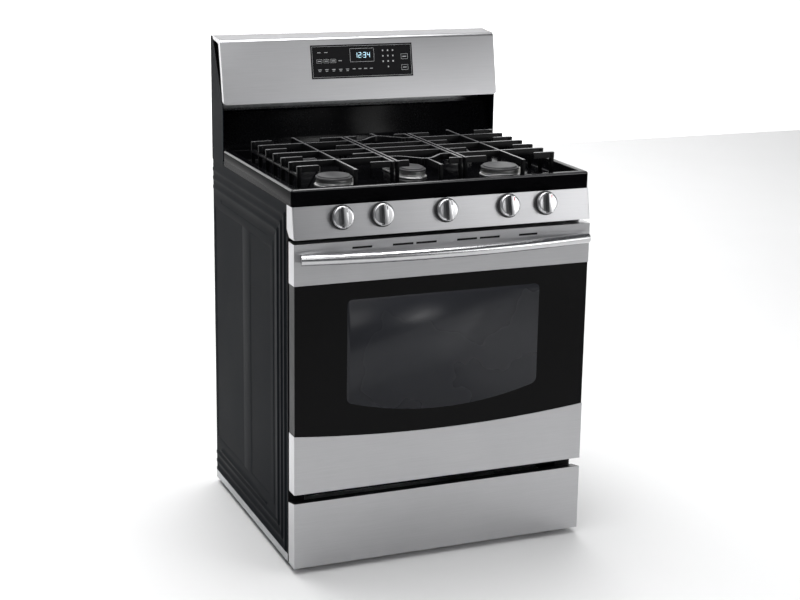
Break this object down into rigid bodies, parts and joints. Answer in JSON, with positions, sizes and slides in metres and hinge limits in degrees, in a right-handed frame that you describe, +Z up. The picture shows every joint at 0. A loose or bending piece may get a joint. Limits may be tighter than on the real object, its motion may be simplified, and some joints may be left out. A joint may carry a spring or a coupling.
{
  "type": "freestanding gas range",
  "caption": "Freestanding gas range with a bowed-handle drop-down oven door, storage drawer, sealed-burner cooktop under cast grates, front knobs and a leaning backguard.",
  "frame": {"origin": "on the floor, below the centre of the overall box", "axes": "+Z up, the front with the door faces -Y, +X to the right seen from the front"},
  "size_m": [0.757, 0.724, 1.214],
  "materials": {
    "charcoal_paint": "satin",
    "black_paint": "satin",
    "galvanised_sheet": "matte",
    "black_enamel": "gloss",
    "stainless": "brushed",
    "zinc_steel": "satin",
    "gasket_cord": "matte",
    "fibre_blanket": "matte",
    "lamp_ceramic": "satin",
    "clear_glass": "gloss",
    "black_glass": "gloss",
    "gas_pipe": "satin",
    "valve_brass": "satin",
    "cast_aluminium": "satin",
    "bezel_plastic": "satin",
    "board": "satin",
    "rack_wire": "gloss",
    "grate_iron": "matte",
    "knob_chrome": "gloss",
    "stem_steel": "satin"
  },
  "bodies": {
    "range_body": {"side_panel_left": "charcoal_paint", "side_panel_right": "charcoal_paint", "back_cover": "galvanised_sheet", "base_frame": "galvanised_sheet", "leveling_feet": "zinc_steel", "front_frame": "black_paint", "oven_liner": "black_enamel", "oven_floor_pan": "black_enamel", "oven_gasket": "gasket_cord", "insulation_wrap": "fibre_blanket", "bake_burner": "zinc_steel", "broil_burner": "zinc_steel", "oven_lamp": "lamp_ceramic", "lamp_lens": "clear_glass", "cooktop_pan": "black_enamel", "manifold_panel": "stainless", "panel_end_caps": "stainless", "gas_manifold": "gas_pipe", "gas_valves": "valve_brass", "supply_tubes": "gas_pipe", "burner_heads": "cast_aluminium", "burner_caps": "black_paint", "igniters": "lamp_ceramic", "knob_bezels": "bezel_plastic", "backguard_riser": "black_paint", "backguard_panel": "stainless", "backguard_end_caps": "charcoal_paint", "backguard_rear": "galvanised_sheet", "control_glass": "black_glass", "control_board": "board", "drawer_rails": "galvanised_sheet", "gas_regulator": "cast_aluminium", "power_inlet": "bezel_plastic", "flue_duct": "galvanised_sheet", "hinge_arms": "zinc_steel"},
    "door": {"door_glass": "black_glass", "door_top_trim": "stainless", "door_bottom_trim": "stainless", "door_frame": "black_paint", "window_glass": "clear_glass", "door_insulation": "fibre_blanket", "door_handle": "stainless", "hinge_channels": "zinc_steel"},
    "drawer": {"drawer_front": "stainless", "drawer_box": "galvanised_sheet"},
    "rack_low": {"oven_rack_lower": "rack_wire"},
    "rack_high": {"oven_rack_upper": "rack_wire"},
    "grate_left_lift": {"grate_left": "grate_iron"},
    "grate_centre_lift": {"grate_centre": "grate_iron"},
    "grate_right_lift": {"grate_right": "grate_iron"},
    "stem_1": {"valve_stem_1": "stem_steel"},
    "knob_body_1": {"knob_1": "knob_chrome"},
    "stem_2": {"valve_stem_2": "stem_steel"},
    "knob_body_2": {"knob_2": "knob_chrome"},
    "stem_3": {"valve_stem_3": "stem_steel"},
    "knob_body_3": {"knob_3": "knob_chrome"},
    "stem_4": {"valve_stem_4": "stem_steel"},
    "knob_body_4": {"knob_4": "knob_chrome"},
    "stem_5": {"valve_stem_5": "stem_steel"},
    "knob_body_5": {"knob_5": "knob_chrome"}
  },
  "joints": [
    {"name": "door_hinge", "type": "hinge", "parent": "range_body", "child": "door", "pos_m": [0, -0.282, 0.225], "axis": [1, 0, 0], "range_deg": [0, 90], "stiffness_Nm_per_rad": 12, "springref_deg": -20.05},
    {"name": "drawer_slide", "type": "slide", "parent": "range_body", "child": "drawer", "axis": [0, -1, 0], "range_m": [0, 0.42]},
    {"name": "rack_low_slide", "type": "slide", "parent": "range_body", "child": "rack_low", "axis": [0, -1, 0], "range_m": [0, 0.05]},
    {"name": "rack_high_slide", "type": "slide", "parent": "range_body", "child": "rack_high", "axis": [0, -1, 0], "range_m": [0, 0.05]},
    {"name": "grate_left_off", "type": "slide", "parent": "range_body", "child": "grate_left_lift", "axis": [0, 0, 1], "range_m": [0, 0.08]},
    {"name": "grate_centre_off", "type": "slide", "parent": "range_body", "child": "grate_centre_lift", "axis": [0, 0, 1], "range_m": [0, 0.08]},
    {"name": "grate_right_off", "type": "slide", "parent": "range_body", "child": "grate_right_lift", "axis": [0, 0, 1], "range_m": [0, 0.08]},
    {"name": "knob_1_push", "type": "slide", "parent": "range_body", "child": "stem_1", "axis": [0, 0.9801, -0.1987], "range_m": [0, 0.004], "stiffness_N_per_m": 600, "springref_m": -0.003},
    {"name": "knob_1_turn", "type": "hinge", "parent": "stem_1", "child": "knob_body_1", "pos_m": [-0.26, -0.29286, 0.86358], "axis": [0, -0.9801, 0.1987], "range_deg": [0, 240]},
    {"name": "knob_2_push", "type": "slide", "parent": "range_body", "child": "stem_2", "axis": [0, 0.9801, -0.1987], "range_m": [0, 0.004], "stiffness_N_per_m": 600, "springref_m": -0.003},
    {"name": "knob_2_turn", "type": "hinge", "parent": "stem_2", "child": "knob_body_2", "pos_m": [-0.161, -0.29286, 0.86358], "axis": [0, -0.9801, 0.1987], "range_deg": [0, 240]},
    {"name": "knob_3_push", "type": "slide", "parent": "range_body", "child": "stem_3", "axis": [0, 0.9801, -0.1987], "range_m": [0, 0.004], "stiffness_N_per_m": 600, "springref_m": -0.003},
    {"name": "knob_3_turn", "type": "hinge", "parent": "stem_3", "child": "knob_body_3", "pos_m": [0, -0.29286, 0.86358], "axis": [0, -0.9801, 0.1987], "range_deg": [0, 240]},
    {"name": "knob_4_push", "type": "slide", "parent": "range_body", "child": "stem_4", "axis": [0, 0.9801, -0.1987], "range_m": [0, 0.004], "stiffness_N_per_m": 600, "springref_m": -0.003},
    {"name": "knob_4_turn", "type": "hinge", "parent": "stem_4", "child": "knob_body_4", "pos_m": [0.161, -0.29286, 0.86358], "axis": [0, -0.9801, 0.1987], "range_deg": [0, 240]},
    {"name": "knob_5_push", "type": "slide", "parent": "range_body", "child": "stem_5", "axis": [0, 0.9801, -0.1987], "range_m": [0, 0.004], "stiffness_N_per_m": 600, "springref_m": -0.003},
    {"name": "knob_5_turn", "type": "hinge", "parent": "stem_5", "child": "knob_body_5", "pos_m": [0.26, -0.29286, 0.86358], "axis": [0, -0.9801, 0.1987], "range_deg": [0, 240]}
  ]
}
